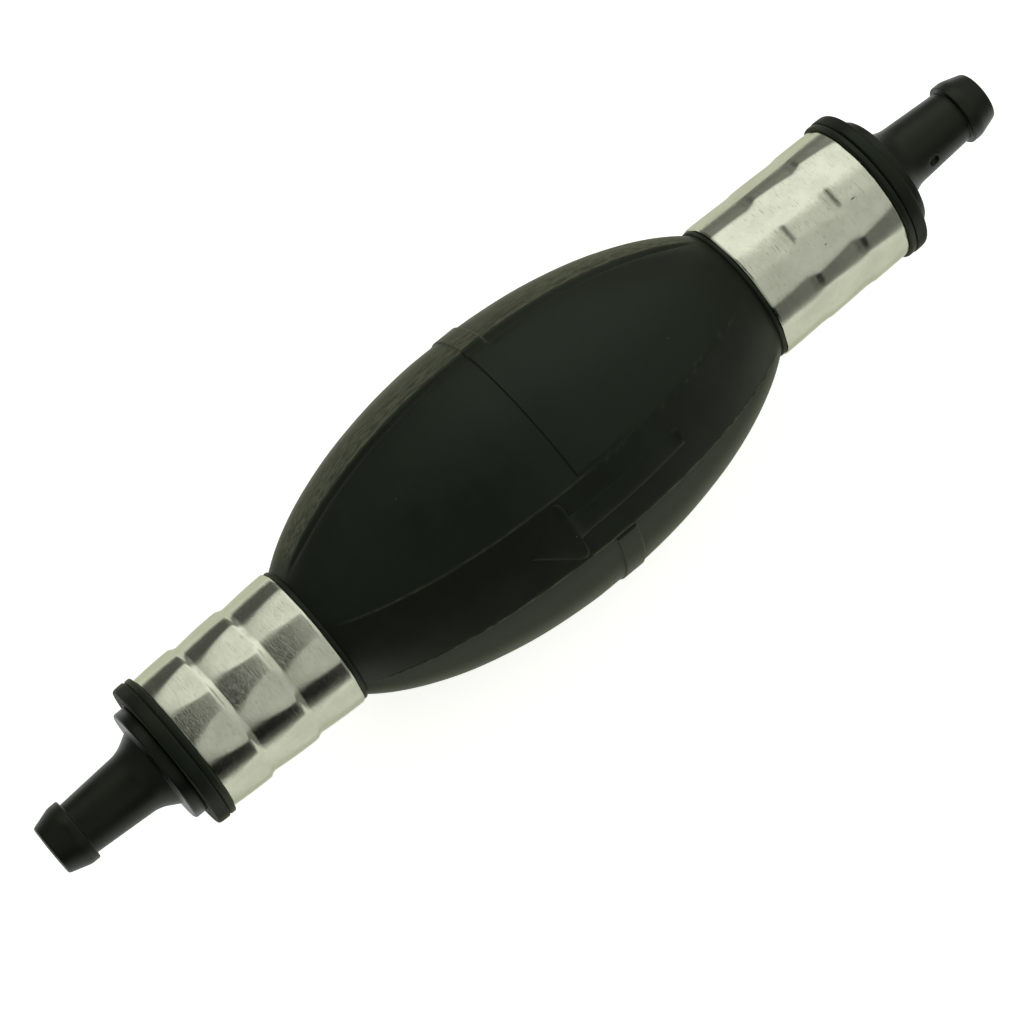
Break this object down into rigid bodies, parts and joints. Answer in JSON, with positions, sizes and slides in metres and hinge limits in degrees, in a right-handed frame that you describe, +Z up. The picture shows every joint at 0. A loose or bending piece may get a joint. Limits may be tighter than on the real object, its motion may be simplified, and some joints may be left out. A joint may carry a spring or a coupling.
{
  "type": "siphon bulb pump",
  "caption": "Hand-squeezed fuel primer bulb: black rubber bulb with crimped aluminium ferrules, hose barb fittings and a spring-loaded check valve in each end.",
  "frame": {"origin": "centre of the bulb, on the axis that runs through both hose barbs", "axes": "+X along the axis in the direction of flow, out of the outlet barb; +Z up out of a wide panel of the bulb; -Z is the wide panel that it lies on"},
  "size_m": [0.1954, 0.0488, 0.048],
  "materials": {
    "bulb_rubber": "smooth moulded rubber, faint bloom",
    "gasket_rubber": "smooth moulded rubber",
    "ferrule_aluminium": "bright crimped sheet with fine scratches",
    "fitting_plastic": "satin moulded nylon",
    "seat_brass": "turned",
    "seal_rubber": "smooth fuel-proof rubber",
    "valve_plastic": "moulded acetal",
    "spring_steel": "drawn stainless wire"
  },
  "bodies": {
    "ends": {"inlet_ferrule": "ferrule_aluminium", "inlet_gasket": "gasket_rubber", "inlet_fitting": "fitting_plastic", "inlet_valve_seat": "seat_brass", "inlet_seat_seal": "seal_rubber", "inlet_spring": "spring_steel", "inlet_valve_cage": "valve_plastic", "inlet_retaining_ring": "spring_steel", "outlet_ferrule": "ferrule_aluminium", "outlet_gasket": "gasket_rubber", "outlet_fitting": "fitting_plastic", "outlet_valve_seat": "seat_brass", "outlet_seat_seal": "seal_rubber", "outlet_spring": "spring_steel", "outlet_valve_cage": "valve_plastic", "outlet_retaining_ring": "spring_steel"},
    "bulb": {"bulb": "bulb_rubber"},
    "inlet_poppet": {"inlet_poppet": "valve_plastic", "inlet_poppet_seal": "seal_rubber"},
    "outlet_poppet": {"outlet_poppet": "valve_plastic", "outlet_poppet_seal": "seal_rubber"}
  },
  "joints": [
    {"name": "bulb_squeeze", "type": "slide", "parent": "ends", "child": "bulb", "axis": [0, 0, -1], "range_m": [0, 0.008], "stiffness_N_per_m": 2000, "deforming": ["bulb"]},
    {"name": "inlet_valve", "type": "slide", "parent": "ends", "child": "inlet_poppet", "axis": [1, 0, 0], "range_m": [0, 0.003], "stiffness_N_per_m": 60, "springref_m": -0.002, "deforming": ["inlet_spring"]},
    {"name": "outlet_valve", "type": "slide", "parent": "ends", "child": "outlet_poppet", "axis": [1, 0, 0], "range_m": [0, 0.003], "stiffness_N_per_m": 60, "springref_m": -0.002, "deforming": ["outlet_spring"]}
  ]
}
